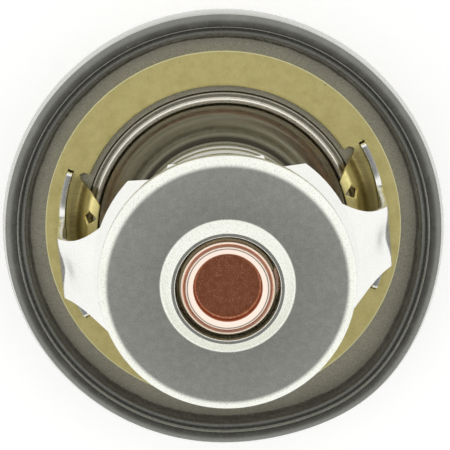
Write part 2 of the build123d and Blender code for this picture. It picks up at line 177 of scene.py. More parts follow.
class Finish:
    """A material under construction: its shader, its running colour and the patterns that feed them."""

    def __init__(self, name, color, metallic, roughness):
        self.material = bpy.data.materials.new(name)
        self.material.use_nodes = True
        self.nodes = self.material.node_tree.nodes
        self.links = self.material.node_tree.links
        self.shader = self.nodes["Principled BSDF"]
        self.shader.inputs["Metallic"].default_value = metallic
        self.shader.inputs["Roughness"].default_value = roughness
        self.shader.inputs["Base Color"].default_value = (*color, 1)
        self.place = self.nodes.new("ShaderNodeTexCoord").outputs["Object"]
        self.base = color

    def feed(self, socket, value):
        """Give a socket another node's result, a colour or a number."""
        if hasattr(value, "is_output"):
            self.links.new(value, socket)
        elif isinstance(value, tuple) and len(value) == 3 and socket.type == "RGBA":
            socket.default_value = (*value, 1)
        else:
            socket.default_value = value

    def math(self, kind, first, second=0.0):
        node = self.nodes.new("ShaderNodeMath")
        node.operation = kind
        self.feed(node.inputs[0], first)
        self.feed(node.inputs[1], second)
        return node.outputs[0]

    def grain(self, scale, detail=4.0, roughness=0.55, where=None):
        node = self.nodes.new("ShaderNodeTexNoise")
        node.inputs["Scale"].default_value = scale
        node.inputs["Detail"].default_value = detail
        node.inputs["Roughness"].default_value = roughness
        self.links.new(where or self.place, node.inputs["Vector"])
        return node.outputs["Fac"]

    def specks(self, scale):
        node = self.nodes.new("ShaderNodeTexVoronoi")
        node.inputs["Scale"].default_value = scale
        self.links.new(self.place, node.inputs["Vector"])
        return node.outputs["Distance"]

    def axes(self):
        node = self.nodes.new("ShaderNodeSeparateXYZ")
        self.links.new(self.place, node.inputs[0])
        return node.outputs

    def height(self):
        return self.axes()[2]

    def radius(self):
        """Distance from the valve axis."""
        x, y, _ = self.axes()
        square = self.math("ADD", self.math("MULTIPLY", x, x), self.math("MULTIPLY", y, y))
        return self.math("SQRT", square)

    def layer(self, name):
        """A value that the mesh carries at each of its points."""
        node = self.nodes.new("ShaderNodeAttribute")
        node.attribute_name = name
        return node.outputs["Fac"]

    def rings(self, fineness, detail=3.0):
        """Fine turned or pressed rings round the valve axis."""
        join = self.nodes.new("ShaderNodeCombineXYZ")
        self.links.new(self.radius(), join.inputs[0])
        self.links.new(self.height(), join.inputs[2])
        return self.grain(fineness, detail, 0.6, join.outputs[0])

    def brushed(self, along, fineness):
        """Streaks that run along one direction."""
        node = self.nodes.new("ShaderNodeMapping")
        node.inputs["Scale"].default_value = along
        self.links.new(self.place, node.inputs["Vector"])
        return self.grain(fineness, 5.0, 0.6, node.outputs[0])

    def span(self, value, low, high, start=0.0, end=1.0):
        """Carry a value smoothly from start to end while it goes from low to high."""
        node = self.nodes.new("ShaderNodeMapRange")
        node.interpolation_type = "SMOOTHSTEP"
        self.links.new(value, node.inputs["Value"])
        for name, number in (("From Min", low), ("From Max", high), ("To Min", start), ("To Max", end)):
            node.inputs[name].default_value = number
        return node.outputs["Result"]

    def fall(self, value, low, high):
        """1 below the low limit and 0 above the high one."""
        return self.span(value, low, high, 1.0, 0.0)

    def band(self, value, rise, fall):
        """1 between two limits and 0 outside; each limit is a pair of values to fade over."""
        return self.math("MULTIPLY", self.span(value, *rise), self.fall(value, *fall))

    def blend(self, share, first, second):
        node = self.nodes.new("ShaderNodeMix")
        node.data_type = "RGBA"
        self.feed(node.inputs["Factor"], share)
        self.feed(node.inputs["A"], first)
        self.feed(node.inputs["B"], second)
        return node.outputs["Result"]

    def tint(self, color, *shares):
        """Lay a colour over the running one, where all the shares allow it."""
        share = shares[0]
        for other in shares[1:]:
            share = self.math("MULTIPLY", share, other)
        self.base = self.blend(share, self.base, color)

    def wander(self, scale, detail, low, high):
        """Let the roughness wander between two values."""
        level = self.span(self.grain(scale, detail), 0.3, 0.7, low, high)
        self.feed(self.shader.inputs["Roughness"], level)

    def relief(self, scale, detail, strength, depth):
        """Fine bumps, their depth in millimetres."""
        node = self.nodes.new("ShaderNodeBump")
        node.inputs["Strength"].default_value = strength
        node.inputs["Distance"].default_value = depth * MM
        self.links.new(self.grain(scale, detail), node.inputs["Height"])
        self.links.new(node.outputs["Normal"], self.shader.inputs["Normal"])

    def done(self):
        """Connect the running colour and hand the material over."""
        self.feed(self.shader.inputs["Base Color"], self.base)
        return self.material


def shade(tone, red, green=None, blue=None):
    """A tone made darker or lighter, by one factor or by one for each colour."""
    factors = (red, green or red, blue or red)
    return tuple(min(1.0, channel * factor) for channel, factor in zip(tone, factors))


def seal_rubber():
    """Black rubber, a little shiny, with pale specks; a painted sheen, partly dusty grey, on its
    shoulder, painted highlights on its bead and step, painted shade in its groove, and a painted
    reflection on the outer wall where it is seen edge on.
    """
    finish = Finish("seal_rubber", (0.06, 0.058, 0.05), 0.0, 0.26)
    finish.shader.inputs["IOR"].default_value = 1.72
    finish.shader.inputs["Sheen Weight"].default_value = 0.25
    finish.shader.inputs["Sheen Roughness"].default_value = 0.35
    section = finish.layer("section_radius")
    upper = finish.span(finish.height(), 0.0008, 0.0012)

    wear = finish.span(finish.grain(330, 6.0, 0.65), 0.4, 0.75)
    finish.base = finish.blend(wear, (0.048, 0.046, 0.038), (0.085, 0.083, 0.07))
    streak = finish.span(finish.rings(2600, 4.0), 0.35, 0.7)
    finish.tint((0.1, 0.1, 0.088), streak, 0.45)
    dot = finish.fall(finish.specks(1050), 0.05, 0.09)
    rare = finish.span(finish.grain(700, 2.0), 0.6, 0.66)
    finish.tint((0.42, 0.42, 0.4), dot, rare)

    # Painted sheen on the shoulder, paler towards its outer side, partly dusty grey in patches
    shoulder = finish.span(section, 31.5, 32.7)
    dust_and_sheen = finish.span(wear, 0.0, 1.0, 0.75, 1.0)
    finish.tint((0.2, 0.2, 0.175), upper, shoulder, dust_and_sheen)
    # Painted highlight on the crest of the bead
    painted_bead_highlight = finish.band(section, (30.15, 30.4), (30.5, 30.85))
    finish.tint((0.17, 0.175, 0.16), upper, painted_bead_highlight)
    # Painted shade in the groove between the bead and the step
    painted_groove_shade = finish.band(section, (30.9, 31.1), (31.3, 31.6))
    finish.tint((0.035, 0.034, 0.028), upper, painted_groove_shade)
    # Painted highlight on the inward face of the step
    painted_step_highlight = finish.band(section, (31.13, 31.17), (31.26, 31.32))
    finish.tint((0.34, 0.35, 0.31), upper, painted_step_highlight)

    # Painted reflection: the outer wall turns pale where it is seen edge on
    edge = finish.nodes.new("ShaderNodeLayerWeight")
    edge.inputs["Blend"].default_value = 0.5
    painted_wall_reflection = finish.span(edge.outputs["Facing"], 0.5, 0.62)
    outer_wall = finish.span(section, 33.0, 33.15)
    below_lip = finish.fall(finish.height(), 0.0018, 0.0020)
    finish.tint((0.6, 0.6, 0.57), painted_wall_reflection, outer_wall, below_lip)
    finish.wander(620, 4.0, 0.2, 0.34)
    finish.relief(2600, 3.0, 0.12, 0.012)
    return finish.done()


def steel(name, tone, rough, streak, grit):
    """Pale steel with soft stains and fine speckle."""
    finish = Finish(name, tone, 1.0, rough)
    stain = finish.span(finish.grain(170, 5.0), 0.2, 0.8)
    finish.base = finish.blend(stain, shade(tone, 1 - streak), shade(tone, 1 + streak))
    dark_speck = finish.span(finish.grain(5200, 2.0), 0.5, 0.66)
    finish.tint(shade(tone, 1 - 4 * grit), dark_speck, 0.6)
    pale_speck = finish.span(finish.grain(4300, 2.0), 0.58, 0.7)
    finish.tint(shade(tone, 1 + 4 * grit), pale_speck, 0.5)
    finish.wander(1300, 5.0, rough - 0.015, rough + 0.02)
    finish.relief(3600, 4.0, 0.14, 0.006)
    return finish.done()


def seat_brass():
    """Dull plated brass with a painted highlight on the rounded rim where the valve plate closes."""
    finish = Finish("seat_brass", (0.42, 0.40, 0.33), 1.0, 0.3)
    ring = finish.span(finish.rings(1100, 5.0), 0.35, 0.65)
    finish.tint((0.33, 0.30, 0.22), ring, 0.5)
    speck = finish.span(finish.grain(2400, 3.0), 0.52, 0.7)
    finish.tint((0.24, 0.22, 0.16), speck, 0.4)
    # Painted highlight on the rounded rim of the seat, on its upper side
    painted_rim_highlight = finish.band(finish.radius(), (0.0193, 0.0195), (0.0203, 0.02035))
    top = finish.span(finish.height(), -0.0007, -0.0005)
    finish.tint((0.93, 0.91, 0.82), painted_rim_highlight, top)
    finish.wander(1100, 4.0, 0.26, 0.34)
    finish.relief(2600, 4.0, 0.12, 0.006)
    return finish.done()


def plate_brass():
    """Smooth drawn plate with faint rings, a painted reflection of the brass tongues as a gold tint at
    its edge, and painted shade round the spring.
    """
    finish = Finish("plate_brass", (0.54, 0.52, 0.43), 1.0, 0.24)
    dull_ring = finish.span(finish.rings(700, 5.0), 0.35, 0.65)
    finish.tint((0.4, 0.36, 0.27), dull_ring, 0.75)
    pale_ring = finish.span(finish.rings(1500, 3.0), 0.55, 0.72)
    finish.tint((0.72, 0.7, 0.6), pale_ring, 0.5)
    # Painted reflection of the brass tongues: a patchy gold tint towards the legs
    painted_reflection_side = finish.span(finish.math("ABSOLUTE", finish.axes()[0]), 0.0115, 0.016)
    patchy = finish.span(finish.grain(420, 4.0), 0.35, 0.65)
    finish.tint((0.56, 0.42, 0.22), painted_reflection_side, patchy, 0.6)
    # Painted shade round the spring, where it stands on the plate
    painted_shade_round_spring = finish.band(finish.radius(), (0.0128, 0.0133), (0.0139, 0.0147))
    finish.tint((0.045, 0.04, 0.03), painted_shade_round_spring, 0.88)
    finish.wander(1100, 4.0, 0.2, 0.26)
    finish.relief(2600, 4.0, 0.1, 0.005)
    return finish.done()


def brass(name, tone, rough, turned=0.0, painted_shade_and_glint=False):
    """Rolled brass with flecks, a few dark spots and faint scratches.

    Turned rings show as far as asked. Painted shade darkens the tongues' bends and a painted highlight
    brightens the outer edge.
    """
    finish = Finish(name, tone, 1.0, rough)
    stain = finish.span(finish.grain(420, 6.0, 0.65), 0.35, 0.72)
    finish.tint(shade(tone, 0.88, 0.87, 0.8), stain)
    fleck = finish.span(finish.grain(3400, 3.0), 0.5, 0.7)
    finish.tint(shade(tone, 0.72), fleck, 0.35)
    spot = finish.fall(finish.specks(480), 0.03, 0.07)
    rare = finish.span(finish.grain(320, 2.0), 0.56, 0.62)
    finish.tint(shade(tone, 0.35), spot, rare)
    scratch = finish.span(finish.brushed((1, 0.05, 1), 2600), 0.66, 0.74)
    finish.tint(shade(tone, 0.7), scratch, 0.25)
    if turned:
        ring = finish.span(finish.rings(900, 5.0), 0.35, 0.65)
        finish.tint(shade(tone, 1.35, 1.28, 1.15), ring, turned)
    if painted_shade_and_glint:
        # Painted shade in the tongues' bends, streaked along them
        streaks = finish.span(finish.brushed((0.12, 1, 1), 2200), 0.2, 0.7, 0.75, 1.0)
        finish.tint((0.27, 0.215, 0.085), finish.layer("bend_shade"), streaks)
        # Painted highlight along the outer edge of the ring
        finish.tint((1.0, 0.95, 0.55), finish.span(finish.radius(), 0.02706, 0.02716))
    finish.wander(1100, 4.0, rough - 0.02, rough + 0.03)
    finish.relief(2600, 4.0, 0.12, 0.006)
    return finish.done()


def copper():
    """Drawn copper: pinkish, with a painted highlight on its shoulder, and darkened to red-brown in the
    recess.
    """
    bright, dull = 0.26, 0.42
    finish = Finish("element_copper", (0.88, 0.53, 0.40), 1.0, bright)
    stain = finish.span(finish.grain(520, 6.0), 0.35, 0.72)
    finish.tint((0.78, 0.42, 0.29), stain)

    # Painted highlight on the shoulder and its rim, near white with a pink tint
    lip = finish.fall(finish.radius(), 0.00525, 0.0054)
    rim = finish.span(finish.radius(), 0.0055, 0.0056)
    painted_highlight_height = finish.span(finish.height(), 0.0376, 0.0379)
    finish.tint((0.94, 0.80, 0.70), painted_highlight_height, finish.math("MAXIMUM", lip, rim))

    stain = finish.span(finish.grain(1500, 5.0), 0.3, 0.75)
    rust = finish.blend(stain, (0.36, 0.12, 0.06), (0.46, 0.18, 0.095))
    spark = finish.span(finish.grain(5200, 1.0), 0.62, 0.7)
    rust = finish.blend(finish.math("MULTIPLY", spark, 0.6), rust, (0.8, 0.5, 0.36))
    sunk = finish.band(finish.height(), (0.0355, 0.0360), (0.0371, 0.0379))
    recess = finish.math("MULTIPLY", sunk, finish.fall(finish.radius(), 0.00432, 0.0045))
    finish.tint(rust, recess)
    finish.feed(finish.shader.inputs["Roughness"], finish.span(recess, 0.0, 1.0, bright, dull))
    finish.relief(2300, 4.0, 0.2, 0.012)
    return finish.done()


def flat_finish(name, tone, rough):
    """Plain finish with a soft grain, for the soft pieces inside."""
    finish = Finish(name, tone, 0.0, rough)
    finish.tint(shade(tone, 0.85), finish.span(finish.grain(300, 4.0), 0.3, 0.7))
    finish.relief(1500, 3.0, 0.2, 0.02)
    return finish.done()


# Making the pieces

def clamp(value):
    return min(1.0, max(0.0, value))


def reach_of(vert):
    """Distance of a vertex from the valve axis, in millimetres."""
    return hypot(vert.co.x, vert.co.y) / MM


def stretch(vert, factor):
    """Move a vertex straight away from the valve axis, or towards it."""
    vert.co.x *= factor
    vert.co.y *= factor


def sector(vert):
    """Angle of a vertex from the nearer leg, in degrees, and that leg's side."""
    angle = degrees(atan2(vert.co.y, vert.co.x))
    side = 1
    if abs(angle) > 90:
        side = -1
        angle = 180 - angle if angle > 0 else -180 - angle
    return angle, side


def grow_strip(bm, rim):
    """Grow a strip of sheet from a rim of edges; gives the new vertices and the new rim."""
    grown = bmesh.ops.extrude_edge_only(bm, edges=rim)["geom"]
    tips = [item for item in grown if isinstance(item, bmesh.types.BMVert)]
    return tips, [item for item in grown if isinstance(item, bmesh.types.BMEdge)]


def face_up(bm):
    """Turn a sheet's faces to one side, the upper one."""
    bmesh.ops.recalc_face_normals(bm, faces=bm.faces)
    if sum(face.normal.z * face.calc_area() for face in bm.faces) < 0:
        bmesh.ops.reverse_faces(bm, faces=bm.faces)


def close_ends(bm):
    """Close the two ends of a wire."""
    rims = [edge for edge in bm.edges if edge.is_boundary]
    bmesh.ops.holes_fill(bm, edges=rims, sides=0)


def save_piece(name, bm, body, material, nodes=(), smooth_angle=30):
    """Finish a mesh: outward faces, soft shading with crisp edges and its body."""
    bmesh.ops.remove_doubles(bm, verts=bm.verts, dist=1e-7)
    bmesh.ops.recalc_face_normals(bm, faces=bm.faces)
    for face in bm.faces:
        face.smooth = True
    for edge in bm.edges:
        if len(edge.link_faces) == 2:
            edge.smooth = edge.calc_face_angle() < radians(smooth_angle)
    mesh = bpy.data.meshes.new(name)
    bm.to_mesh(mesh)
    bm.free()
    mesh.materials.append(material)
    piece = bpy.data.objects.new(name, mesh)
    bpy.context.scene.collection.objects.link(piece)
    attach(piece, body)
    if nodes:
        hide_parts(*nodes)
    return piece


def draw_line(points):
    """Open line in the X-Z plane, through points given as radius and height."""
    bm = bmesh.new()
    chain = [bm.verts.new((reach * MM, 0, height * MM)) for reach, height in points]
    for first, second in zip(chain, chain[1:]):
        bm.edges.new((first, second))
    return bm


def wire_outline(points, bends, closed=True, edge_break=0.06, steps=5):
    """Outline in the X-Z plane with rounded corners.

    bends maps a corner's number to its bend radius; the other corners lose edge_break on both sides.
    """
    bm = draw_line(points)
    corners = bm.verts[:]
    if closed:
        bm.edges.new((corners[-1], corners[0]))
    count = len(points)
    for number, corner in enumerate(corners):
        if not closed and number in (0, count - 1):
            continue
        before = Vector(points[number - 1]) - Vector(points[number])
        after = Vector(points[(number + 1) % count]) - Vector(points[number])
        opening = before.angle(after)
        if number in bends:
            length, cuts = bends[number] / tan(opening / 2), steps
        elif points[number][0] > 0.01:
            length, cuts = edge_break, 2
        else:
            continue
        bmesh.ops.bevel(
            bm, geom=[corner], offset=length * MM, offset_type="OFFSET", segments=cuts,
            profile=0.5, affect="VERTICES", material=-1,
        )
    return bm


def turn_round(bm, steps):
    """Spin an outline right round the valve axis."""
    bmesh.ops.spin(
        bm, geom=bm.verts[:] + bm.edges[:], cent=(0, 0, 0), axis=(0, 0, 1), dvec=(0, 0, 0),
        angle=2 * pi, steps=steps, use_merge=True,
    )
    bmesh.ops.remove_doubles(bm, verts=bm.verts, dist=1e-7)
    return bm


def break_rims(bm, width, steps=2):
    """Break the sharp edges of a sheet."""
    sharp = radians(60)
    bmesh.ops.recalc_face_normals(bm, faces=bm.faces)
    rims = [
        edge for edge in bm.edges
        if len(edge.link_faces) == 2 and edge.calc_face_angle() > sharp
    ]
    bmesh.ops.bevel(
        bm, geom=rims, offset=width * MM, offset_type="OFFSET", segments=steps, profile=0.5,
        affect="EDGES", clamp_overlap=True, material=-1,
    )


def make_seal():
    """Rubber ring: rounded outer lip, step, bead and a thin inner lip with a ragged edge.

    It sits a little off centre on the flange and is pushed outward at one side, as in the photograph.
    """
    outline = [
        (31.2, -0.8), (29.6, -0.8), (29.6, -0.42), (29.95, 0.1), (30.1, 1.2), (30.42, 1.8),
        (31.1, 1.45), (31.2, 1.7), (31.2, 2.4), (32.4, 2.4), (33.1, 1.95), (33.8, 0.2), (33.8, -4.4),
        (30.8, -4.4), (29.98, -2.4), (29.98, -2.0), (31.2, -2.0),
    ]
    bends = {4: 0.5, 5: 0.35, 6: 0.2, 8: 0.1, 9: 1.1, 10: 0.22, 11: 0.6, 12: 0.8, 13: 0.6}
    off_centre = 0.4
    bulge, bulge_angle, bulge_spread = 1.15, -52, 24
    flange_edge, thin_lip = 31.2, 30.05
    bm = turn_round(wire_outline(outline, bends, edge_break=0.04), 480)
    section = bm.verts.layers.float.new("section_radius")
    for vert in bm.verts:
        reach = reach_of(vert)
        vert[section] = reach
        height = vert.co.z / MM
        # The floor of the groove keeps its grip on the flange
        if abs(reach - flange_edge) < 0.12 and -2.1 < height < -0.7:
            continue
        angle = degrees(atan2(vert.co.y, vert.co.x))
        away = (angle - bulge_angle + 180) % 360 - 180
        push = bulge * exp(-(away / bulge_spread) ** 2)
        if reach < thin_lip and -0.79 < height < 0.2:
            push += noise.noise(vert.co * 900) * 0.08 + noise.noise(vert.co * 330) * 0.12
            vert.co.z += noise.noise(vert.co * 700) * 0.05 * MM
        push += noise.noise(vert.co * 60) * 0.06
        stretch(vert, 1 + push / reach)
        vert.co.y -= off_centre * MM
    return save_piece("seal", bm, "flange_body", FINISHES["rubber"], ["rubber_seal"])


def make_disc():
    """Bypass disc: flat face, rolled rim, conical collar and the inner land under the clip."""
    outline = [
        (16.4, 34.2), (16.4, 37.1), (8.4, 37.1), (7.1, 38.6), (6.6, 38.6), (6.6, 36.2),
        (5.95, 36.2), (5.95, 35.5), (7.6, 35.5), (7.6, 36.2), (15.5, 36.2), (15.5, 34.2),
    ]
    bends = {1: 1.45, 2: 0.5, 3: 0.12, 4: 0.12, 5: 0.3, 8: 0.5, 9: 0.4, 10: 0.6}
    bm = turn_round(wire_outline(outline, bends), 320)
    return save_piece("disc", bm, "bypass_valve", FINISHES["disc"], ["bypass_disc"])


def make_cup():
    """Copper cup with its recessed end, rounded rim, two grooves and the crimped shoulder."""
    outline = [
        (0, 36.7), (4.3, 36.7), (4.3, 37.95), (5.2, 38.45), (5.42, 37.9), (5.52, 37.9),
        (5.72, 38.28), (5.93, 38.1), (5.85, 37.05), (5.5, 37.05), (5.5, 36.25), (5.85, 36.25),
        (5.85, 30.65), (5.5, 30.65), (5.5, 29.85), (5.85, 29.85), (5.85, 3.2), (8.2, 3.2),
        (8.2, -1.4), (5.6, -1.4), (5.6, -0.55), (7.35, -0.55), (7.35, 2.4), (5.1, 2.4),
        (5.1, 35.95), (0, 35.95),
    ]
    bends = {1: 0.35, 2: 0.2, 3: 0.25, 16: 0.6, 17: 0.45, 18: 0.4}
    bm = turn_round(wire_outline(outline, bends, closed=False, edge_break=0.04), 192)
    return save_piece("cup", bm, "thermal_element", FINISHES["copper"], ["wax_cup"])


def make_valve_plate():
    """Dished brass-coloured plate whose rim closes the seat."""
    outline = [
        (19.05, -0.4), (17.3, -1.15), (14.8, -1.9), (10.6, -1.9), (9.3, 4.1), (5.97, 4.1),
        (5.97, 3.2), (8.45, 3.2), (9.75, -2.8), (14.9, -2.8), (17.2, -2.1), (18.7, -1.4),
    ]
    bends = {1: 4.0, 2: 2.4, 3: 1.3, 4: 1.3, 7: 0.4, 8: 0.5, 9: 1.0, 10: 3.0}
    bm = turn_round(wire_outline(outline, bends), 320)
    return save_piece(
        "plate", bm, "thermal_element", FINISHES["plate"], ["main_valve_plate"])


def start_wire(wire, radius, height, sides):
    """Round section of a wire, upright at its distance from the valve axis."""
    bm = bmesh.new()
    bmesh.ops.create_circle(bm, segments=sides, radius=wire / 2 * MM)
    bmesh.ops.rotate(bm, verts=bm.verts, matrix=Matrix.Rotation(pi / 2, 3, "X"))
    bmesh.ops.translate(bm, verts=bm.verts, vec=(radius * MM, 0, height * MM))
    return bm


def make_clip(name, node, height):
    """Open wire ring in a groove of the cup, with a gap between its ends."""
    half_gap = 15
    bm = start_wire(0.8, 5.9, height, 14)
    bmesh.ops.rotate(bm, verts=bm.verts, matrix=Matrix.Rotation(radians(half_gap), 3, "Z"))
    bmesh.ops.spin(
        bm, geom=bm.verts[:] + bm.edges[:], cent=(0, 0, 0), axis=(0, 0, 1), dvec=(0, 0, 0),
        angle=radians(360 - 2 * half_gap), steps=110, use_merge=False,
    )
    close_ends(bm)
    return save_piece(name, bm, "thermal_element", FINISHES["clip"], [node])


def wind_wire(wire, radius, height, runs, sides, steps_a_turn):
    """Wind a round wire: each run of the coil is its number of turns and how far it climbs."""
    bm = start_wire(wire, radius, height, sides)
    section = bm.verts[:] + bm.edges[:]
    for share, climb in runs:
        steps = max(1, round(share * steps_a_turn))
        made = bmesh.ops.spin(
            bm, geom=section, cent=(0, 0, 0), axis=(0, 0, 1), dvec=(0, 0, climb * MM / steps),
            angle=2 * pi * share, steps=steps, use_merge=False,
        )
        section = made["geom_last"]
    close_ends(bm)
    return bm


def make_main_spring():
    """Main spring: one closed coil, the open coils, and a closed coil under the crown."""
    plate_face, crown_underside = -1.9, 28.6
    low = plate_face + SPRING_WIRE / 2
    high = crown_underside - SPRING_WIRE / 2
    climb = high - low - 2 * SPRING_WIRE
    runs = (
        (1.0, SPRING_WIRE), (0.25, 0.045 * climb), (4.0, 0.91 * climb), (0.25, 0.045 * climb),
        (1.0, SPRING_WIRE),
    )
    bm = wind_wire(SPRING_WIRE, SPRING_RADIUS, low, runs, 20, 80)
    piece = save_piece("spring", bm, "flange_body", FINISHES["spring"], ["main_spring"])
    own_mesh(piece)
    return piece


def make_bypass_spring():
    """Small conical spring between its seat and the disc."""
    washer_face, disc_underside = 31.3, 36.2
    low = washer_face + SMALL_WIRE / 2
    high = disc_underside - SMALL_WIRE / 2
    bm = wind_wire(SMALL_WIRE, SMALL_COIL, low, [(2.25, high - low)], 14, 72)
    for vert in bm.verts:
        share = max(-0.05, min(1.05, (vert.co.z / MM - low) / (high - low)))
        reach = reach_of(vert)
        stretch(vert, (reach + (WIDE_COIL - SMALL_COIL) * share) / reach)
    piece = save_piece("small_spring", bm, "thermal_element", FINISHES["small_spring"],
                       ["bypass_spring"])
    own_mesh(piece)
    return piece


# The brass ring with its tongues

# A tongue's upper face from its root to its tip: radius and height
TONGUE_LINE = (
    (22.62, 0.06), (22.36, 0.24), (22.12, 0.5), (21.9, 0.82), (21.7, 1.14), (21.5, 1.46), (21.3, 1.78),
    (21.1, 2.1), (20.92, 2.4), (20.74, 2.66), (20.54, 2.88), (20.3, 3.04), (20.0, 3.14), (19.7, 3.22),
    (19.4, 3.29), (19.1, 3.36),
)


def with_corners(faces):
    """Faces with their vertices and edges, as a cut wants them."""
    verts = {vert for face in faces for vert in face.verts}
    edges = {edge for face in faces for edge in face.edges}
    return list(verts) + list(edges) + list(faces)


def punch_diamond(bm, centre, along, across):
    """Cut a diamond window through the sheet round one point."""
    long_half, short_half = DIAMOND_LONG_HALF * MM, DIAMOND_SHORT_HALF * MM
    near = [
        face for face in bm.faces
        if (face.calc_center_median() - centre).length < 2 * long_half + 0.1 * MM
    ]
    for way in (1, -1):
        for turn in (1, -1):
            cut = bmesh.ops.bisect_plane(
                bm, geom=with_corners(near), dist=1e-8, plane_co=centre + along * turn * long_half,
                plane_no=(along * turn / long_half + across * way / short_half).normalized(),
            )
            near = [item for item in cut["geom"] if isinstance(item, bmesh.types.BMFace)]
    gone = []
    for face in near:
        step = face.calc_center_median() - centre
        share = abs(step.dot(along)) / long_half + abs(step.dot(across)) / short_half
        if share < 1 and step.length < 1.6 * MM:
            gone.append(face)
    bmesh.ops.delete(bm, geom=gone, context="FACES")


def make_brass_ring():
    """Flat brass ring: slots for the feet, notches beside the legs and tongues bent up from them."""
    radii = (
        RING_OUTSIDE, 27.1, 26.4, SLOT_OUTSIDE, 25.0, SLOT_INSIDE, 23.6, NOTCH_RADIUS, 22.5, RING_BORE)
    bm = turn_round(draw_line([(reach, 0) for reach in radii]), 720)

    def inside(face, low, high, half_angle):
        middle = face.calc_center_median()
        reach = hypot(middle.x, middle.y) / MM
        angle = degrees(atan2(abs(middle.y), abs(middle.x)))
        return low < reach < high and angle < half_angle

    notch_length = NOTCH_HALF_ANGLE - TONGUE_HALF_ANGLE + 0.1
    for vert in bm.verts:
        along = abs(sector(vert)[0]) - TONGUE_HALF_ANGLE
        if abs(reach_of(vert) - NOTCH_RADIUS) < 0.01 and 0.1 < along < notch_length:
            bulge = NOTCH_BULGE * sin(pi * along / notch_length)
            stretch(vert, (NOTCH_RADIUS + bulge) / NOTCH_RADIUS)
    openings = [
        face for face in bm.faces
        if inside(face, SLOT_INSIDE, SLOT_OUTSIDE, SLOT_HALF_ANGLE)
        or inside(face, RING_BORE, NOTCH_RADIUS + 0.25, NOTCH_HALF_ANGLE)
    ]
    bmesh.ops.delete(bm, geom=openings, context="FACES")
    root = [
        edge for edge in bm.edges
        if edge.is_boundary and all(
            abs(reach_of(vert) - NOTCH_RADIUS) < 0.02 and abs(sector(vert)[0]) < TONGUE_HALF_ANGLE + 0.1
            for vert in edge.verts)
    ]
    length = NOTCH_RADIUS - TONGUE_LINE[-1][0]
    half_angle = TONGUE_HALF_ANGLE
    for reach, height in TONGUE_LINE:
        tips, root = grow_strip(bm, root)
        share = (NOTCH_RADIUS - reach) / length
        narrower = TONGUE_HALF_ANGLE + (TONGUE_TIP_HALF_ANGLE - TONGUE_HALF_ANGLE) * share
        for tip in tips:
            angle, side = sector(tip)
            corner = max(0.0, abs(angle) - 0.86 * half_angle) / (0.14 * half_angle)
            near_tip = max(0.0, 20.3 - reach) / 1.2
            rounding = 1 - 0.05 * corner * near_tip * near_tip
            angle = radians(angle * narrower / half_angle * rounding)
            tip.co = (side * reach * cos(angle) * MM, reach * sin(angle) * MM, height * MM)
        half_angle = narrower
    slope = Vector((-1.5, 0, 1.42)).normalized()
    for side in (0, 180):
        for step in (-DIAMOND_SPACING, 0, DIAMOND_SPACING):
            turn = Matrix.Rotation(radians(side + step), 3, "Z")
            centre = turn @ Vector((DIAMOND_RADIUS * MM, 0, DIAMOND_HEIGHT * MM))
            punch_diamond(bm, centre, turn @ slope, turn @ Vector((0, 1, 0)))
    for vert in bm.verts:
        reach = reach_of(vert)
        near = min(clamp((reach - NOTCH_RADIUS) / 1.4), clamp((27.0 - reach) / 1.4))
        vert.co.x *= (reach - near * ease_inward(vert.co)) / reach
    face_up(bm)
    # Painted shade in the tongues' bends, kept for the ring's finish
    bend_half_angle, bend_outside, bend_inside = 27.5, 24.3, 21.3
    bend_shade = bm.verts.layers.float.new("bend_shade")
    for vert in bm.verts:
        angle, _ = sector(vert)
        reach = reach_of(vert)
        across = clamp((bend_half_angle - abs(angle)) / 3)
        along = clamp((bend_outside - reach) / 0.9) * clamp((reach - bend_inside) / 0.7)
        vert[bend_shade] = 0.9 * across * along
    bm.normal_update()
    facing = bm.verts.layers.float_vector.new("facing")
    for vert in bm.verts:
        vert[facing] = vert.normal
    grown = bmesh.ops.extrude_face_region(
        bm, geom=bm.verts[:] + bm.edges[:] + bm.faces[:], use_keep_orig=True)["geom"]
    for vert in grown:
        if isinstance(vert, bmesh.types.BMVert):
            thinner = TONGUE_THINNING * clamp(vert.co.z / MM / 0.7)
            vert.co -= vert[facing] * (RING_SHEET - thinner) * MM
    bmesh.ops.recalc_face_normals(bm, faces=bm.faces)
    break_rims(bm, 0.11)
    return save_piece("brass_ring", bm, "flange_body", FINISHES["ring"],
                      ["brass_retainer_ring"], 24)


# The stainless frame

def crown_reach(angle):
    """Outer radius of the crown at an angle from the legs: round wings, cut sides, tabs."""
    across, along = abs(sin(radians(angle))), abs(cos(radians(angle)))
    if across * WING_RADIUS <= WING_CUT:
        return WING_RADIUS
    wing = WING_CUT / across
    if TAB_HALF_WIDTH * across / max(along, 1e-6) >= TAB_CUT:
        return TAB_CUT / across
    start = degrees(atan2(WING_CUT, TAB_HALF_WIDTH + TAB_FILLET))
    stop = degrees(atan2(TAB_CUT, TAB_HALF_WIDTH))
    nearer = angle % 180
    nearer = min(nearer, 180 - nearer)
    if nearer < start:
        return wing
    share = (nearer - start) / (stop - start)
    foot = hypot(WING_CUT, TAB_HALF_WIDTH + TAB_FILLET)
    head = hypot(TAB_CUT, TAB_HALF_WIDTH)
    return foot + (head - foot) * (1 - sqrt(max(0.0, 1 - share * share)))


def crown_height(reach):
    """Height of the crown's top face at a radius: a flat, a soft bend and a conical band."""
    flat_end, cone_start, slope = 14.0, 15.2, 0.4667
    share = clamp((reach - flat_end) / (cone_start - flat_end))
    return CROWN_HEIGHT - 0.28 * share * share - max(0.0, reach - cone_start) * slope


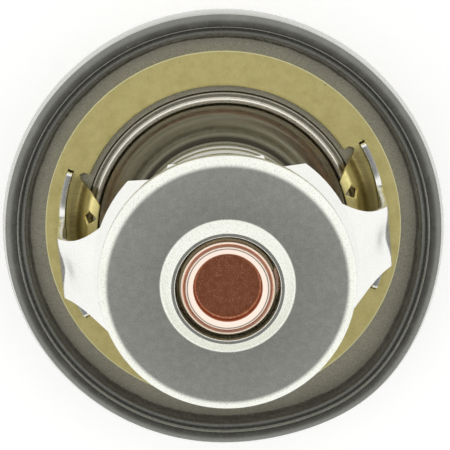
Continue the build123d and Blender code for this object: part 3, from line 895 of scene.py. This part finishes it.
def leg_half_width(height):
    """Half width of the leg: wide at the crown, narrow below the bend, flared to the foot."""
    if height > LEG_BEND_HEIGHT:
        share = clamp((height - LEG_BEND_HEIGHT) / (28.0 - LEG_BEND_HEIGHT))
        return LEG_HALF_WIDTH + (LEG_TOP_HALF_WIDTH - LEG_HALF_WIDTH) * share ** 2.4
    share = clamp((FOOT_TOP + LEG_FILLET - height) / LEG_FILLET)
    return LEG_HALF_WIDTH + LEG_FILLET * (1 - sqrt(max(0.0, 1 - share * share)))


def rounded_run(points, radii, gap):
    """Points along a bent line in the leg's section, with a round bend at each inner corner."""
    run = [points[0]]
    for before, here, after, radius in zip(points, points[1:], points[2:], radii):
        corner = Vector(here)
        back = (Vector(before) - corner).normalized()
        on = (Vector(after) - corner).normalized()
        opening = back.angle(on)
        length = radius / tan(opening / 2)
        middle = corner + (back + on).normalized() * (radius / sin(opening / 2))
        first, last = corner + back * length, corner + on * length
        for cut in range(9):
            way = first.lerp(last, cut / 8) - middle
            run.append(tuple(middle + way.normalized() * radius))
    run.append(points[-1])
    filled = [run[0]]
    for first, last in zip(run, run[1:]):
        steps = max(1, round((Vector(last) - Vector(first)).length / gap))
        for cut in range(1, steps + 1):
            filled.append(tuple(Vector(first).lerp(Vector(last), cut / steps)))
    return filled


def ease_inward(co):
    """How far the foot and its slot sit inside their circle beside the leg."""
    depth, half_width = 0.5, 7.5
    fade_start, fade_height = 13, 9
    across = co.y / MM / half_width
    fade = clamp((fade_start - co.z / MM) / fade_height)
    return depth * fade * exp(-across * across)


def press_dart(co):
    """Stiffening dart pressed inward across the middle of each leg's bend."""
    depth, half_width, half_height = 0.95, 2.7, 4.6
    height = co.z / MM
    if height < 6 or height > 27:
        return 0.0
    across = co.y / MM / half_width
    up = (height - LEG_BEND_HEIGHT) / half_height
    return depth * exp(-across * across) * exp(-up * up)


def bend_frame():
    """Crown, two legs and hooked feet as one bent sheet without thickness."""
    collar_bend, bend_start = 1.1, 28.3
    section = [(CROWN_BORE, 26.6), (CROWN_BORE, 27.4), (CROWN_BORE, bend_start)]
    for turn in (18, 36, 54, 72, 90):
        section.append((CROWN_BORE + collar_bend * (1 - cos(radians(turn))),
                        bend_start + collar_bend * sin(radians(turn))))
    section += [(reach, CROWN_HEIGHT) for reach in (7.6, 9.0, 10.5, 12.0)]
    band = WING_RADIUS - CROWN_ROUND
    section += [(CROWN_ROUND + band * cut / 14, CROWN_HEIGHT) for cut in range(15)]
    bm = turn_round(draw_line(section), 720)
    for vert in bm.verts:
        reach = reach_of(vert)
        if reach > CROWN_ROUND - 0.1:
            limit = crown_reach(degrees(atan2(vert.co.y, vert.co.x)))
            wanted = CROWN_ROUND + (reach - CROWN_ROUND) / band * (limit - CROWN_ROUND)
            stretch(vert, wanted / reach)
            vert.co.z = crown_height(wanted) * MM
    root = [
        edge for edge in bm.edges
        if edge.is_boundary and all(
            reach_of(vert) > 17 and abs(sector(vert)[0]) < LEG_HALF_ANGLE + 0.1 for vert in edge.verts)
    ]
    shares = {}
    for edge in root:
        for vert in edge.verts:
            angle, side = sector(vert)
            shares[vert] = (sin(radians(angle)) / sin(radians(LEG_HALF_ANGLE)), side)
    corners = [
        (WING_RADIUS, 28.0), (LEG_BEND_RADIUS, LEG_BEND_HEIGHT), (FOOT_RADIUS, 1.5), (FOOT_RADIUS, -2.55)]
    leg = rounded_run(corners, [3.0, 2.0], 0.55)
    line = [point for point in leg[1:] if point[1] > FOOT_TOP + 0.02]
    line += [(FOOT_RADIUS, height) for height in (FOOT_TOP, 0.65, 0.0, -0.8, -2.0, -2.65)]
    line += [
        (FOOT_RADIUS + 0.05, -2.75), (FOOT_RADIUS + 0.15, -2.8), (FOOT_RADIUS + 0.8, -2.8),
        (FOOT_RADIUS + 1.5, -2.8),
    ]
    for reach, height in line:
        old = {vert for edge in root for vert in edge.verts}
        tips, root = grow_strip(bm, root)
        fresh = {}
        for tip in tips:
            parent = next(edge.other_vert(tip) for edge in tip.link_edges if edge.other_vert(tip) in old)
            fresh[tip] = shares[parent]
            share, side = shares[parent]
            across = share * leg_half_width(height)
            tip.co = (side * sqrt(reach * reach - across * across) * MM, across * MM, height * MM)
        shares = fresh
    return bm


def add_feet(bm):
    """Widen each foot to both sides of its leg and round its upper corners."""
    start = LEG_HALF_WIDTH + LEG_FILLET
    for side in (1, -1):
        for way in (1, -1):
            rim = [
                edge for edge in bm.edges
                if edge.is_boundary and all(
                    vert.co.z < (FOOT_TOP + 0.01) * MM and side * vert.co.x > 0
                    and abs(vert.co.y / MM - way * start) < 0.03 for vert in edge.verts)
            ]
            for width in (7.5, 8.1, 8.8, 9.4, 10.1, 10.8, FOOT_HALF_WIDTH):
                tips, rim = grow_strip(bm, rim)
                for tip in tips:
                    reach = reach_of(tip)
                    tip.co.x = side * sqrt(reach * reach - width * width) * MM
                    tip.co.y = way * width * MM
            corner = max(tips, key=lambda vert: vert.co.z)
            bmesh.ops.bevel(
                bm, geom=[corner], offset=0.55 * MM, offset_type="OFFSET", segments=4, profile=0.5,
                affect="VERTICES", material=-1,
            )


def make_frame():
    """The bent sheet with its darts, given its thickness and its broken edges."""
    bm = bend_frame()
    add_feet(bm)
    for vert in bm.verts:
        reach = reach_of(vert)
        depth = press_dart(vert.co)
        if reach > 20:
            depth += ease_inward(vert.co)
        vert.co.x *= (reach - depth) / reach
    face_up(bm)
    bmesh.ops.solidify(bm, geom=bm.faces[:], thickness=FRAME_SHEET * MM)
    break_rims(bm, 0.2, 3)
    return save_piece("frame", bm, "flange_body", FINISHES["frame"], ["lower_frame"], 24)


# The seat and its bridge

def make_seat():
    """Flange, seat lip and the bell's upper band, turned from one section."""
    outline = [
        (26.7, -2.0), (21.1, -2.0), (21.1, -0.3), (20.36, -0.36), (19.92, 0.12), (19.45, -0.3),
        (17.9, -3.3), (17.7, -5.4), (18.5, -5.4), (18.68, -3.53), (19.94, -1.1), (20.3, -1.1),
        (20.3, -2.8), (26.7, -2.8),
    ]
    bends = {2: 0.3, 4: 0.35, 6: 1.2, 9: 1.6}
    bm = turn_round(wire_outline(outline, bends, edge_break=0.04), 320)
    return save_piece("seat", bm, "flange_body", FINISHES["seat"])


def window_planes():
    """Sides of the bridge's window in the Y-Z plane, as points and outward directions."""
    top, foot = -6.6, -18.6
    wide, narrow = 15.5, 9.0
    lean = Vector((0, top - foot, -(wide - narrow))).normalized()
    planes = [
        (Vector((0, 0, top)), Vector((0, 0, 1))), (Vector((0, 0, foot)), Vector((0, 0, -1))),
        (Vector((0, wide, top)), lean), (Vector((0, -wide, top)), Vector((0, -lean.y, lean.z))),
    ]
    corner_radius = 2.5
    for first, second in ((0, 2), (0, 3), (1, 2), (1, 3)):
        point_a, normal_a = planes[first]
        point_b, normal_b = planes[second]
        distances = Vector((
            normal_a.dot(point_a) - corner_radius, normal_b.dot(point_b) - corner_radius))
        square = Matrix(((normal_a.y, normal_a.z), (normal_b.y, normal_b.z)))
        centre = square.inverted() @ distances
        middle = Vector((0, centre.x, centre.y))
        for share in (0.2, 0.4, 0.6, 0.8):
            normal = normal_a.slerp(normal_b, share)
            planes.append((middle + normal * corner_radius, normal))
    return planes


def make_bell():
    """Lower bell of the bridge: two wide straps down to the hub, between two windows."""
    line = [(17.7, -5.4), (17.5, -7.5), (9.0, -21.4), (2.4, -21.4)]
    bm = wire_outline(line, {1: 3.0, 2: 3.0}, closed=False, steps=8)
    long_edges = [edge for edge in bm.edges if edge.calc_length() > 3 * MM]
    bmesh.ops.subdivide_edges(bm, edges=long_edges, cuts=5)
    turn_round(bm, 288)
    planes = [(point * MM, normal) for point, normal in window_planes()]
    low, high = -20.5 * MM, -5.5 * MM
    for point, normal in planes:
        near = [
            face for face in bm.faces
            if low < face.calc_center_median().z < high and abs(face.calc_center_median().x) > 4 * MM
        ]
        bmesh.ops.bisect_plane(
            bm, geom=with_corners(near), dist=1e-8, plane_co=point, plane_no=normal)
    gone = [
        face for face in bm.faces
        if all((face.calc_center_median() - point).dot(normal) < 1e-7 for point, normal in planes)
    ]
    bmesh.ops.delete(bm, geom=gone, context="FACES")
    bmesh.ops.recalc_face_normals(bm, faces=bm.faces)
    low_face = min(bm.faces, key=lambda face: face.calc_center_median().z)
    if low_face.normal.z > 0:
        bmesh.ops.reverse_faces(bm, faces=bm.faces)
    bmesh.ops.solidify(bm, geom=bm.faces[:], thickness=-BRIDGE_SHEET * MM)
    break_rims(bm, 0.07)
    return save_piece("bell", bm, "flange_body", FINISHES["bridge"], ["seat_bridge"], 40)


# Everything together

FINISHES = {
    "rubber": seal_rubber(),
    "flange": steel("flange_steel", (0.45, 0.43, 0.345), 0.55, 0.06, 0.13),
    "ring": brass("ring_brass", (0.93, 0.82, 0.37), 0.44, painted_shade_and_glint=True),
    "seat": seat_brass(),
    "bridge": brass("bridge_brass", (0.6, 0.57, 0.46), 0.24, 0.3),
    "frame": steel("frame_steel", (0.85, 0.85, 0.82), 0.28, 0.03, 0.02),
    "spring": steel("spring_steel", (0.5, 0.5, 0.44), 0.24, 0.04, 0.03),
    "small_spring": steel("bypass_spring_steel", (0.7, 0.7, 0.68), 0.24, 0.04, 0.03),
    "copper": copper(),
    "plate": plate_brass(),
    "disc": steel("disc_steel", (0.86, 0.87, 0.80), 0.26, 0.04, 0.07),
    "clip": steel("clip_steel", (0.5, 0.44, 0.3), 0.36, 0.08, 0.05),
    "washer": flat_finish("washer_plastic", (0.78, 0.76, 0.7), 0.45),
    "plunger": flat_finish("plunger_rubber", (0.04, 0.04, 0.04), 0.6),
    "diaphragm": flat_finish("diaphragm_rubber", (0.045, 0.045, 0.045), 0.6),
    "wax": flat_finish("wax", (0.55, 0.34, 0.2), 0.5),
    "guide": brass("guide_brass", (0.66, 0.56, 0.30), 0.3),
    "cup_brass": brass("cup_brass", (0.64, 0.55, 0.32), 0.3),
    "piston": steel("piston_steel", (0.68, 0.68, 0.66), 0.14, 0.03, 0.02),
    "seat_washer": steel("spring_seat_steel", (0.6, 0.6, 0.57), 0.3, 0.05, 0.03),
}

# CAD solids that stay as they are, each with its finish
PLAIN_NODES = {
    "mounting_flange": "flange",
    "piston_seat_cup": "cup_brass",
    "piston": "piston",
    "chafe_washer": "washer",
    "rubber_plunger": "plunger",
    "wax_charge": "wax",
    "diaphragm": "diaphragm",
    "element_guide": "guide",
    "bypass_spring_seat": "seat_washer",
}

aim_camera()
light_tent()
pale_floor()
make_seal()
make_brass_ring()
make_frame()
make_seat()
make_bell()
make_valve_plate()
make_main_spring()
make_cup()
make_disc()
make_bypass_spring()
make_clip("disc_clip", "disc_retaining_clip", 36.65)
make_clip("seat_clip", "spring_seat_clip", 30.3)

for name, finish in PLAIN_NODES.items():
    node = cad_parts[name]
    node.data.materials.clear()
    node.data.materials.append(FINISHES[finish])
